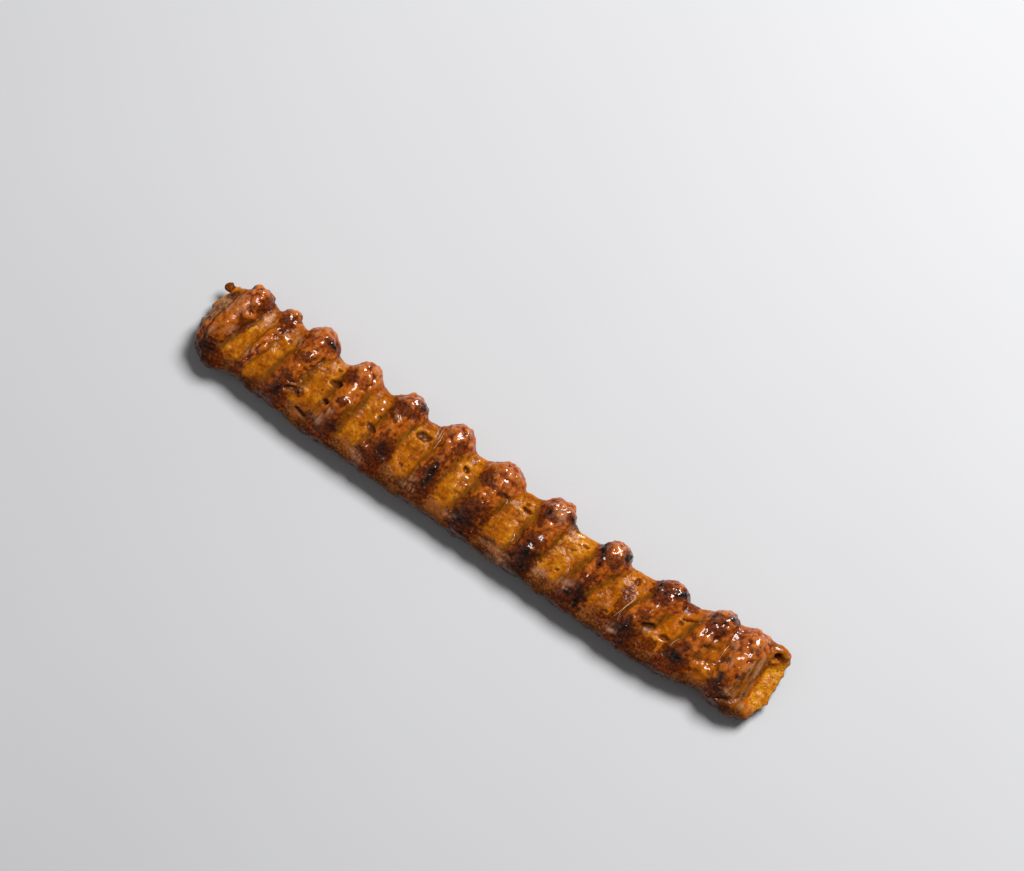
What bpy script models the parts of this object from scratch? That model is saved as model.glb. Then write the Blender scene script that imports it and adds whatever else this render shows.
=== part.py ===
"""Grilled kofta off its flat skewer: one long loaf of minced meat, pressed into ridges by fingers.

Run with: blender --background --python part.py
The loaf lies along X on its underside, its knobbly edge faces +Y, and +Z is up.
Blender's units are metres. The sizes below are in millimetres, and MM turns them into metres.
"""

import math
from collections import namedtuple

import bmesh
import bpy
import numpy as np
from mathutils import Matrix, Vector, noise

MM = 0.001

# The loaf between its ridges: a flattened bar with blunt ends, bowed a little towards -Y.
LEFT_END = -117.8
RIGHT_END = 124.8
MID_HEIGHT = 8.0
HALF_HEIGHT = 5.2
SECTION_POWER = 2.7  # 2 is an ellipse, and more is squarer
END_POWER = 14.0
Station = namedtuple("Station", "x middle half_width")
STATIONS = (
    Station(-118.0, -0.2, 15.2),
    Station(-104.0, -0.4, 14.9),
    Station(-72.0, -2.6, 15.2),
    Station(-42.0, -2.9, 15.0),
    Station(-12.0, -2.9, 14.6),
    Station(36.0, -4.2, 13.9),
    Station(61.0, -4.7, 14.1),
    Station(86.0, -3.2, 14.4),
    Station(103.0, 0.2, 14.5),
    Station(115.0, 0.5, 14.9),
    Station(120.0, 1.0, 13.8),
    Station(125.0, 1.7, 11.9),
)

# Each ridge is a roll that crosses the loaf from a round knob on the +Y edge to a foot near the -Y edge.
Ridge = namedtuple("Ridge", "knob_x knob_y knob_radius foot_x half_width half_height")
RIDGES = (
    Ridge(-110.4, 13.0, 5.0, -118.6, 6.4, 9.2),
    Ridge(-96.6, 14.6, 3.3, -102.6, 2.4, 7.6),
    Ridge(-82.2, 13.0, 6.0, -87.4, 6.0, 8.5),
    Ridge(-62.0, 11.6, 6.0, -65.6, 5.8, 8.5),
    Ridge(-41.6, 11.9, 5.8, -45.0, 5.7, 8.5),
    Ridge(-20.8, 12.2, 5.8, -24.0, 5.2, 8.6),
    Ridge(1.0, 9.2, 7.1, -2.6, 6.6, 8.8),
    Ridge(25.0, 9.5, 6.5, 21.6, 6.3, 8.7),
    Ridge(50.4, 8.4, 6.2, 44.0, 6.0, 8.5),
    Ridge(75.6, 8.2, 6.3, 67.0, 6.0, 8.5),
    Ridge(96.6, 10.2, 5.9, 88.4, 5.8, 8.6),
    Ridge(109.6, 11.0, 5.6, 107.4, 5.8, 8.3),
)
KNOB_HEIGHT = 10.9
FOOT_Y = -12.0
ROLL_HALF_LENGTH = 15.5
CREASE = 0.75  # how softly the rolls run into the loaf

# Smaller swellings: centre and half sizes.
Lump = namedtuple("Lump", "x y z half_x half_y half_z")
LUMPS = (
    Lump(-112.8, -1.6, 4.6, 10.8, 15.4, 4.1),  # lower lip of the left end
    Lump(-112.6, -14.2, 7.4, 4.4, 3.8, 4.6),  # corner of the left end
    Lump(-83.4, 4.4, 14.2, 4.2, 3.8, 3.2),
    Lump(-61.6, -1.2, 14.0, 3.8, 4.2, 3.2),
    Lump(-43.2, 2.4, 14.0, 3.2, 3.4, 2.9),
    Lump(-48.2, -10.0, 11.4, 2.7, 2.5, 2.8),
    Lump(0.0, -0.8, 14.2, 4.6, 3.6, 3.4),
    Lump(92.4, 3.0, 14.0, 4.6, 3.8, 3.0),
    Lump(110.0, 2.4, 13.0, 5.0, 6.4, 3.6),
)

# The open right end: the roof is missing where the flat skewer was drawn out.
SCOOP = Lump(130.0, -3.7, 16.4, 12.9, 16.4, 10.0)
SCOOP_POWER = 8.0
END_LUMPS = (
    Lump(114.6, -11.2, 6.6, 6.8, 4.4, 4.1),
    Lump(119.4, -10.6, 5.4, 3.0, 2.8, 3.0),
    Lump(119.4, 14.2, 7.0, 4.6, 2.2, 6.0),
)
TUNNEL = Lump(118.0, 11.6, 9.6, 4.4, 1.8, 1.8)

# Unevenness of the whole surface: depth and spacing of the waves.
SWELL_DEPTH = 0.55
SWELL_SIZE = 11.0
GRAIN_DEPTH = 0.45
GRAIN_SIZE = 4.2

# The skin is a UV sphere whose rays leave a flat strip inside the loaf.
SIDES = 32
END_RINGS = 12
RING_PITCH = 2.0
RAY_LEFT = -113.0
RAY_RIGHT = 112.0
RAY_DROP = 3.6  # how much lower the rays start at the right end
RAY_DROP_LENGTH = 16.0
STRIP_HALF_WIDTH = 6.5
REACH = 32.0
HALVINGS = 24
TABLE_HEIGHT = 0.5  # everything lower rests flat on the table

# A shred of meat that stands out of the left end: its stalk and its torn tip.
SHRED = (
    Lump(-119.8, 11.4, 6.8, 4.6, 1.4, 1.2),
    Lump(-122.6, 11.4, 7.2, 1.4, 1.9, 1.0),
)
SMALL_SIDES = 12
SMALL_RINGS = 8

COLOUR = (0.36, 0.12, 0.022, 1.0)
ROUGHNESS = 0.38


def clear_scene():
    """Remove every object that is already there."""
    for thing in list(bpy.data.objects):
        bpy.data.objects.remove(thing, do_unlink=True)


def new_collection(name):
    """Return a new collection linked to the scene."""
    collection = bpy.data.collections.new(name)
    bpy.context.scene.collection.children.link(collection)
    return collection


def new_object(name, bm, collection):
    """Turn a bmesh into an object at the origin."""
    mesh = bpy.data.meshes.new(name)
    bm.to_mesh(mesh)
    bm.free()
    thing = bpy.data.objects.new(name, mesh)
    collection.objects.link(thing)
    return thing


def middle_at(x):
    """Return how far the loaf's middle lies towards +Y at the station x."""
    return np.interp(x, [station.x for station in STATIONS], [station.middle for station in STATIONS])


def half_width_at(x):
    """Return half the loaf's width at the station x."""
    return np.interp(x, [station.x for station in STATIONS], [station.half_width for station in STATIONS])


def ellipsoid_distance(points, centre, half_sizes, turn=0.0):
    """Return the rough distance of points to an ellipsoid turned about Z, negative inside."""
    offset = points - np.array(centre)
    along = np.column_stack(
        (
            offset[:, 0] * math.cos(turn) + offset[:, 1] * math.sin(turn),
            offset[:, 1] * math.cos(turn) - offset[:, 0] * math.sin(turn),
            offset[:, 2],
        )
    )
    sizes = np.array(half_sizes)
    scaled = np.linalg.norm(along / sizes, axis=1)
    slope = np.linalg.norm(along / sizes**2, axis=1) + 1e-9
    return scaled * (scaled - 1.0) / slope


def bar_distance(points):
    """Return the rough distance of points to the plain bar that carries the ridges."""
    x, y, z = points.T
    across = np.abs(y - middle_at(x)) / half_width_at(x)
    up = np.abs(z - MID_HEIGHT) / HALF_HEIGHT
    section = (across**SECTION_POWER + up**SECTION_POWER) ** (1.0 / SECTION_POWER)
    middle = (LEFT_END + RIGHT_END) / 2.0
    along = np.abs(x - middle) / ((RIGHT_END - LEFT_END) / 2.0)
    whole = (section**END_POWER + along**END_POWER) ** (1.0 / END_POWER)
    return (whole - 1.0) * HALF_HEIGHT


def ridge_distances(points, ridge):
    """Return the distances of points to a ridge's roll and to its knob."""
    knob = (ridge.knob_x, ridge.knob_y, KNOB_HEIGHT)
    middle = ((ridge.knob_x + ridge.foot_x) / 2, (ridge.knob_y + FOOT_Y) / 2, MID_HEIGHT)
    turn = math.atan2(ridge.knob_y - FOOT_Y, ridge.knob_x - ridge.foot_x) - math.pi / 2
    roll_sizes = (ridge.half_width, ROLL_HALF_LENGTH, ridge.half_height)
    return [
        ellipsoid_distance(points, middle, roll_sizes, turn),
        ellipsoid_distance(points, knob, (ridge.knob_radius,) * 3),
    ]


def scoop_distance(points):
    """Return the rough distance of points to the missing block of the right end."""
    x, y, z = ((points - np.array(SCOOP[:3])) / np.array(SCOOP[3:])).T
    powers = np.abs(x) ** SCOOP_POWER + np.abs(y) ** SCOOP_POWER + np.abs(z) ** SCOOP_POWER
    scaled = powers ** (1.0 / SCOOP_POWER)
    return (scaled - 1.0) * SCOOP.half_z


def blend(distances):
    """Join shapes given by their distances, with soft creases between them."""
    closeness = np.exp(-np.clip(np.array(distances) / CREASE, -60.0, 60.0))
    return -CREASE * np.log(closeness.sum(axis=0))


def meat_distance(points):
    """Return the rough distance of points to the whole piece of meat, negative inside."""
    distances = [bar_distance(points)]
    for ridge in RIDGES:
        distances += ridge_distances(points, ridge)
    for lump in LUMPS:
        distances.append(ellipsoid_distance(points, lump[:3], lump[3:]))
    opened = np.maximum(blend(distances), -scoop_distance(points))
    ends = [ellipsoid_distance(points, lump[:3], lump[3:]) for lump in END_LUMPS]
    return blend([opened] + ends)


def skin_reach(origins, directions):
    """Return how far along each ray the skin lies, by halving the interval that holds it."""
    low = np.zeros(len(origins))
    high = np.full(len(origins), REACH)
    for _ in range(HALVINGS):
        middle = (low + high) / 2
        inside = meat_distance(origins + directions * middle[:, None]) < 0
        low = np.where(inside, middle, low)
        high = np.where(inside, high, middle)
    return (low + high) / 2


def unevenness(point):
    """Return the height of the random waves at a point of the skin."""
    swell = noise.noise(Vector(point) / SWELL_SIZE)
    grain = noise.noise(Vector(point) / GRAIN_SIZE)
    return SWELL_DEPTH * swell + GRAIN_DEPTH * grain


def ray_of(ring, angle, last_ring):
    """Return the start and direction of the ray for a ring of the sphere and an angle round X."""
    from_end = min(ring, last_ring - ring)
    side = -1.0 if ring < last_ring / 2 else 1.0
    tilt = min(from_end / END_RINGS, 1.0) * math.pi / 2
    share = (ring - END_RINGS) / (last_ring - 2 * END_RINGS)
    x = RAY_LEFT + min(max(share, 0.0), 1.0) * (RAY_RIGHT - RAY_LEFT)
    y = middle_at(x) + STRIP_HALF_WIDTH * math.cos(angle) * math.sin(tilt)
    z = MID_HEIGHT - RAY_DROP * max(0.0, 1.0 - (RAY_RIGHT - x) / RAY_DROP_LENGTH)
    lean = side * math.cos(tilt)
    return (x, y, z), (lean, math.cos(angle) * math.sin(tilt), math.sin(angle) * math.sin(tilt))


def build_loaf(collection):
    """Pull a UV sphere out to the skin of the meat and flatten what rests on the table."""
    body_rings = round((RAY_RIGHT - RAY_LEFT) / RING_PITCH)
    last_ring = body_rings + 2 * END_RINGS
    bm = bmesh.new()
    bmesh.ops.create_uvsphere(bm, u_segments=SIDES, v_segments=last_ring, radius=1.0)
    rays = []
    for vert in bm.verts:
        ring = round(math.acos(max(-1.0, min(1.0, vert.co.z))) / math.pi * last_ring)
        rays.append(ray_of(ring, math.atan2(vert.co.y, vert.co.x), last_ring))
    origins = np.array([ray[0] for ray in rays])
    directions = np.array([ray[1] for ray in rays])
    skin = origins + directions * skin_reach(origins, directions)[:, None]
    for vert, point, direction in zip(bm.verts, skin, directions):
        raised = Vector(point) + Vector(direction) * unevenness(point)
        raised.z = max(raised.z, TABLE_HEIGHT)
        vert.co = raised * MM
    bmesh.ops.recalc_face_normals(bm, faces=bm.faces)
    return new_object("kofta", bm, collection)


def build_ellipsoid(name, lump, collection):
    """Make a small closed ellipsoid."""
    bm = bmesh.new()
    bmesh.ops.create_uvsphere(bm, u_segments=SMALL_SIDES, v_segments=SMALL_RINGS, radius=1.0)
    bmesh.ops.scale(bm, vec=Vector(lump[3:]) * MM, verts=bm.verts)
    bmesh.ops.translate(bm, vec=Vector(lump[:3]) * MM, verts=bm.verts)
    return new_object(name, bm, collection)


def add_boolean(thing, operand, operation):
    """Join an operand to a thing, or cut it out, and keep the operand out of the render."""
    modifier = thing.modifiers.new(operand.name, "BOOLEAN")
    modifier.operation = operation
    modifier.object = operand
    modifier.solver = "EXACT"
    operand.hide_render = True
    operand.display_type = "WIRE"


def move_to_footprint_centre(thing):
    """Apply the modifiers, then put the origin under the middle of the thing."""
    graph = bpy.context.evaluated_depsgraph_get()
    mesh = bpy.data.meshes.new_from_object(thing.evaluated_get(graph))
    thing.modifiers.clear()
    thing.data = mesh
    corners = np.array([vert.co for vert in mesh.vertices])
    middle = (corners.min(axis=0) + corners.max(axis=0)) / 2
    mesh.transform(Matrix.Translation((-middle[0], -middle[1], -corners[:, 2].min())))


def grilled_meat():
    """Return the brown, oily finish of the meat."""
    material = bpy.data.materials.new("grilled_meat")
    material.use_nodes = True
    shader = material.node_tree.nodes["Principled BSDF"]
    shader.inputs["Base Color"].default_value = COLOUR
    shader.inputs["Roughness"].default_value = ROUGHNESS
    shader.inputs["Metallic"].default_value = 0.0
    return material


def main():
    """Build the kofta."""
    clear_scene()
    food = new_collection("kofta_skewer")
    helpers = new_collection("helpers")
    kofta = build_loaf(food)
    for number, lump in enumerate(SHRED):
        add_boolean(kofta, build_ellipsoid(f"shred_{number}", lump, helpers), "UNION")
    add_boolean(kofta, build_ellipsoid("tunnel_cutter", TUNNEL, helpers), "DIFFERENCE")
    move_to_footprint_centre(kofta)
    kofta.data.materials.clear()
    kofta.data.materials.append(grilled_meat())
    kofta.data.shade_smooth()


main()
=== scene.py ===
"""Grilled kofta off its flat skewer, seen on a pale table.

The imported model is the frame: its loaf is copied, made fine and cooked here, and every piece rides on it.
The loaf lies along X, its knobbly edge faces +Y and it rests on Z = 0. Blender's units are metres. The
tables of marks and the functions that shape the meat work in millimetres, and MM turns them into metres.
"""

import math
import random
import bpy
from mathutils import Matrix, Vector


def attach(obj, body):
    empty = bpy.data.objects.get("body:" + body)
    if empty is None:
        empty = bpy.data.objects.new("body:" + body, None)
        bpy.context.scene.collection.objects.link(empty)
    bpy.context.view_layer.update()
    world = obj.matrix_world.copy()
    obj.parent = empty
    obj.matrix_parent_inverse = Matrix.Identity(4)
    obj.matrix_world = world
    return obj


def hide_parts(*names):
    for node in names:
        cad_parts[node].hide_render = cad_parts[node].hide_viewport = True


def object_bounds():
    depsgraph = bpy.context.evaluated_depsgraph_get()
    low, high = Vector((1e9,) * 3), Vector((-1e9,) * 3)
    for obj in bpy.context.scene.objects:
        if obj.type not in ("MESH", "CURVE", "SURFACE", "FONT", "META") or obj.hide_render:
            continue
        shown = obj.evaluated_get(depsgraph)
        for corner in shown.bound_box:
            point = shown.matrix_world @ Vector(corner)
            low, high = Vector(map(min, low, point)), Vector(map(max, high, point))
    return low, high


bl_info = {
    "name": "Grilled Kofta",
    "version": (1, 0, 0),
    "blender": (4, 5, 0),
    "location": "View3D > Sidebar > Kofta",
    "description": "Cooks a long kofta, strews its char and spice, and sets the table and the light",
    "category": "Mesh",
}

from collections import namedtuple

import bmesh
import bpy
import numpy as np
from mathutils import Matrix, Vector, noise
from mathutils.bvhtree import BVHTree

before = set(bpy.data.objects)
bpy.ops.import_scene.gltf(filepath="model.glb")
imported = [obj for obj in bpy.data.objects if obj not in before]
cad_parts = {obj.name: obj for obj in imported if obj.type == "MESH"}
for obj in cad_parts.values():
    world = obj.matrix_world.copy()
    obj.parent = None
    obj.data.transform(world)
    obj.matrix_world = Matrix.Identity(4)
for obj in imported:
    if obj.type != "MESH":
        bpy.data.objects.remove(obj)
CAD_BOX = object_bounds()

MM = 0.001
LOAF_NODE = "kofta"
BODY = "root"

# Each ridge is a roll from a round knob on the +Y edge to a foot near the -Y edge.
Ridge = namedtuple("Ridge", "knob_x knob_y knob_radius foot_x half_width")
RIDGES = (
    Ridge(-110.6, 12.7, 5.0, -118.8, 6.4),
    Ridge(-96.8, 14.3, 3.3, -102.8, 2.4),
    Ridge(-82.4, 12.7, 6.0, -87.6, 6.0),
    Ridge(-62.2, 11.3, 6.0, -65.8, 5.8),
    Ridge(-41.8, 11.6, 5.8, -45.2, 5.7),
    Ridge(-21.0, 11.9, 5.8, -24.2, 5.2),
    Ridge(0.8, 8.9, 7.1, -2.8, 6.6),
    Ridge(24.8, 9.2, 6.5, 21.4, 6.3),
    Ridge(50.2, 8.1, 6.2, 43.8, 6.0),
    Ridge(75.4, 7.9, 6.3, 66.8, 6.0),
    Ridge(96.4, 9.9, 5.9, 88.2, 5.8),
    Ridge(109.4, 10.7, 5.6, 107.2, 5.8),
)
KNOB_HEIGHT = 10.4
FOOT_Y = -12.3

# Marks on the upper side: centre, half sizes, turn in degrees, and depth or height where they have one.
Spot = namedtuple("Spot", "x y along across turn depth", defaults=(0, 0.0))

# Air holes and tears.
PITS = (
    Spot(-92.3, 6.0, 0.7, 0.6, 0, 0.7),
    Spot(-71.3, 7.8, 0.8, 0.6, 0, 0.7),
    Spot(-69.6, 2.8, 2.3, 1.3, 8, 1.6),
    Spot(-69.1, -5.0, 1.2, 0.9, -10, 1.6),
    Spot(-74.8, -13.3, 2.6, 0.7, -12, 1.2),
    Spot(-49.5, 1.8, 0.7, 0.7, 0, 0.9),
    Spot(-49.8, -3.5, 2.4, 1.1, -25, 0.9),
    Spot(-32.3, 5.0, 2.8, 1.7, 12, 1.4),
    Spot(-12.5, 3.8, 1.4, 1.0, -35, 1.7),
    Spot(14.2, 4.1, 1.8, 0.8, -3, 1.7),
    Spot(13.3, 6.2, 0.8, 0.6, 0, 0.8),
    Spot(39.4, 5.2, 1.3, 0.5, 0, 0.9),
    Spot(35.7, 1.2, 0.8, 0.4, 25, 0.6),
    Spot(37.1, 1.9, 0.5, 0.4, 0, 0.5),
    Spot(35.5, -7.8, 0.8, 0.4, 20, 0.6),
    Spot(62.2, 5.5, 1.1, 1.3, 30, 0.9),
    Spot(58.7, -10.3, 0.8, 0.5, 10, 0.9),
    Spot(85.7, 4.2, 2.7, 0.6, 22, 1.5),
    Spot(83.6, 1.6, 0.9, 0.8, 0, 1.0),
    Spot(74.7, -6.2, 2.8, 1.2, 25, 1.0),
    Spot(81.4, -6.3, 2.1, 0.9, 10, 1.2),
    Spot(-33.3, -8.3, 0.9, 0.4, 0, 0.5),
    Spot(-82.8, -8.0, 2.2, 0.8, 35, 1.1),
    Spot(110.7, -13.0, 2.6, 0.5, 28, 1.0),
)

# Burnt spots, which stand out a little.
CHARS = (
    Spot(-92.5, 16.3, 0.9, 0.6, 0, 0.3),
    Spot(-78.3, 13.5, 1.3, 0.7, -10, 0.3),
    Spot(-79.3, -7.5, 0.7, 0.6, 0, 0.3),
    Spot(-67.8, -17.8, 0.6, 0.5, 0, 0.2),
    Spot(-38.3, 13.4, 1.1, 0.9, 20, 0.3),
    Spot(-21.9, -3.5, 0.7, 1.3, 10, 0.3),
    Spot(-22.3, -9.6, 0.6, 1.0, 0, 0.3),
    Spot(-22.3, -6.5, 0.6, 2.0, 5, 0.1),
    Spot(21.5, 7.4, 1.3, 1.1, 20, 0.4),
    Spot(30.5, 10.1, 1.4, 0.8, -20, 0.3),
    Spot(22.9, -9.0, 0.9, 1.0, 0, 0.2),
    Spot(23.7, -14.0, 1.2, 0.8, 0, 0.2),
    Spot(21.4, -5.0, 0.7, 0.4, 20, 0.2),
    Spot(45.3, 8.0, 0.7, 2.1, 15, 0.4),
    Spot(46.7, 5.3, 0.7, 1.5, 20, 0.4),
    Spot(47.3, 2.5, 0.5, 0.8, 0, 0.3),
    Spot(52.0, 4.0, 0.4, 0.5, 0, 0.2),
    Spot(54.5, 10.4, 1.0, 1.5, -10, 0.4),
    Spot(43.0, -12.6, 1.4, 0.8, 0, 0.3),
    Spot(47.7, -13.5, 0.8, 2.2, 10, 0.2),
    Spot(69.8, 8.0, 0.8, 2.1, 12, 0.4),
    Spot(70.3, 4.8, 0.5, 0.5, 0, 0.2),
    Spot(78.3, 10.2, 2.8, 0.9, 42, 0.4),
    Spot(72.9, 7.2, 0.8, 0.8, 0, 0.3),
    Spot(67.3, -11.3, 0.9, 1.1, 0, 0.2),
    Spot(69.1, -16.0, 0.6, 0.5, 0, 0.2),
    Spot(91.7, 10.5, 0.5, 0.5, 0, 0.3),
    Spot(98.6, 13.4, 1.2, 0.7, 35, 0.4),
    Spot(96.4, 10.0, 0.6, 0.5, 0, 0.3),
    Spot(94.0, 8.2, 0.5, 0.5, 0, 0.3),
    Spot(97.9, 7.5, 0.6, 0.5, 20, 0.3),
    Spot(88.9, -9.6, 2.3, 0.9, -10, 0.3),
    Spot(85.3, -9.7, 0.5, 0.5, 0, 0.2),
    Spot(111.4, -3.3, 0.5, 0.4, 0, 0.2),
    Spot(-4.3, -12.0, 1.1, 0.8, 0, 0.1),
    Spot(-1.1, -16.3, 0.7, 0.6, 0, 0.2),
    Spot(3.3, -8.0, 0.5, 0.4, 0, 0.2),
    Spot(-86.3, -10.5, 0.8, 0.7, 0, 0.1),
    Spot(-119.6, 8.6, 0.5, 0.9, -30, 0.1),
    Spot(-121.8, 1.4, 0.9, 0.4, 0, 0.1),
    Spot(-122.6, -2.6, 1.0, 0.4, -20, 0.1),
    Spot(-121.8, -7.8, 0.7, 0.5, 0, 0.1),
    Spot(-116.0, 16.4, 0.8, 0.5, 20, 0.1),
)

# Hard-grilled places on the low feet of the ridges, near black: real searing and painted shade.
SEARED_AND_SHADED_FEET = (
    Spot(-86.3, -11.5, 2.4, 2.8),
    Spot(-62.0, -11.0, 2.6, 2.2, 20),
    Spot(-41.3, -8.5, 2.6, 3.4),
    Spot(-22.0, -5.0, 2.2, 6.5, 5),
    Spot(-3.0, -12.0, 5.0, 5.0),
    Spot(23.0, -11.0, 4.2, 6.4),
    Spot(47.0, -10.5, 3.4, 5.0, 10),
    Spot(68.0, -12.0, 3.6, 4.4, 10),
    Spot(88.0, -9.5, 3.2, 2.6),
    Spot(-116.5, -13.0, 3.6, 3.2, -30),
    Spot(107.0, -9.0, 2.4, 3.6),
)

# Well-browned patches.
ROASTED = (
    Spot(-107.4, 12.0, 1.6, 3.6, -10),
    Spot(-109.6, 1.0, 1.6, 3.4, -20),
    Spot(-113.4, -14.5, 4.5, 3.0),
    Spot(-97.2, 11.0, 2.4, 3.4),
    Spot(-84.8, 4.0, 3.0, 1.8, 20),
    Spot(-85.4, -6.4, 2.4, 3.0, 10),
    Spot(-86.6, -14.0, 4.2, 3.4),
    Spot(-66.4, 7.4, 2.6, 2.4, 30),
    Spot(-63.4, -2.0, 2.0, 1.6),
    Spot(-65.0, -14.6, 4.2, 2.6, 10),
    Spot(-45.2, 7.2, 2.4, 3.2, 10),
    Spot(-41.6, 8.8, 4.0, 1.6),
    Spot(-41.8, -7.0, 3.8, 4.6, 10),
    Spot(-44.6, -14.8, 4.4, 3.0),
    Spot(-18.4, 8.0, 1.8, 3.4, -10),
    Spot(-22.4, -8.4, 3.6, 5.6, 8),
    Spot(-4.6, 5.4, 2.6, 2.4, 20),
    Spot(-1.6, -7.0, 5.0, 4.2),
    Spot(-2.6, -14.2, 5.4, 3.6),
    Spot(20.2, 4.4, 1.4, 3.2, 10),
    Spot(23.2, -3.0, 4.0, 2.6),
    Spot(23.0, -13.0, 4.8, 4.8),
    Spot(46.6, 6.4, 2.0, 3.4, 15),
    Spot(55.0, 9.6, 1.6, 2.6),
    Spot(50.6, 6.0, 3.0, 2.0),
    Spot(47.0, -4.4, 2.0, 1.8, 20),
    Spot(45.4, -14.6, 4.6, 4.0, 10),
    Spot(72.4, 7.4, 4.0, 4.0, 20),
    Spot(71.0, -3.4, 2.4, 1.8, 20),
    Spot(68.6, -13.6, 4.8, 4.4, 10),
    Spot(77.4, -11.8, 3.4, 2.2, 20),
    Spot(94.4, 8.0, 2.8, 4.2, 20),
    Spot(90.0, -4.8, 1.6, 1.8, 20),
    Spot(87.8, -12.6, 4.6, 3.6, 10),
    Spot(106.0, -10.6, 2.6, 2.6),
    Spot(62.0, -3.0, 2.0, 6.0, 10),
    Spot(60.4, -13.0, 3.6, 2.4),
    Spot(83.0, 9.0, 2.6, 2.4),
    Spot(-123.4, 11.2, 1.6, 2.6),
)

# Shreds of meat that took no colour, and one painted highlight on the eighth knob.
PALE_SHREDS_AND_SHEEN = (
    Spot(-103.3, 8.5, 2.0, 3.4, -20),
    Spot(-102.7, -5.5, 1.2, 2.0, -35),
    Spot(-89.3, 8.0, 2.0, 1.8),
    Spot(-72.3, 10.5, 2.8, 1.4, 20),
    Spot(-65.3, -7.5, 1.2, 1.8, 20),
    Spot(-67.6, -11.5, 2.0, 2.2, 30),
    Spot(-48.8, -14.8, 3.4, 1.6, -15),
    Spot(-44.8, 5.2, 1.8, 0.8, -30),
    Spot(-28.1, 9.5, 1.0, 3.5, 5),
    Spot(-26.7, -10.1, 2.2, 0.9, 10),
    Spot(-26.8, -13.5, 3.0, 1.2, -5),
    Spot(-7.3, -13.5, 3.0, 1.5),
    Spot(12.7, -14.5, 6.0, 1.2),
    Spot(15.7, -17.0, 4.5, 1.2, 5),
    # painted highlight on the eighth knob
    Spot(25.4, 9.4, 2.4, 3.4, 20),
    Spot(31.7, 7.2, 1.4, 1.6, 40),
    Spot(30.7, -12.0, 3.0, 1.8, 20),
    Spot(41.7, -10.5, 3.4, 2.6, 15),
    Spot(56.7, -8.5, 2.2, 1.2, 30),
    Spot(63.7, -14.0, 5.0, 1.8, 10),
    Spot(75.7, -7.3, 3.0, 1.0, 25),
    Spot(94.2, -16.5, 2.2, 1.4),
    Spot(106.2, 0.0, 1.4, 2.0, 20),
    Spot(116.0, 3.0, 0.9, 7.0, 4),
    Spot(115.7, -8.0, 1.4, 3.2, -25),
    Spot(-118.8, -9.0, 1.6, 4.0, -22),
    Spot(-117.3, 5.0, 1.4, 6.5, -28),
    Spot(-112.3, -3.0, 1.6, 2.6, -25),
    Spot(-113.4, 5.0, 1.0, 5.0, -25),
    Spot(-121.6, 4.0, 1.8, 5.0, -25),
    Spot(-123.0, -3.0, 1.8, 5.0),
    Spot(112.6, 2.0, 1.6, 8.0, 4),
    Spot(112.0, -9.0, 2.4, 1.6, 30),
    Spot(120.0, -10.0, 3.0, 1.6, 20),
    Spot(104.4, 6.0, 1.2, 3.0),
)

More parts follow.
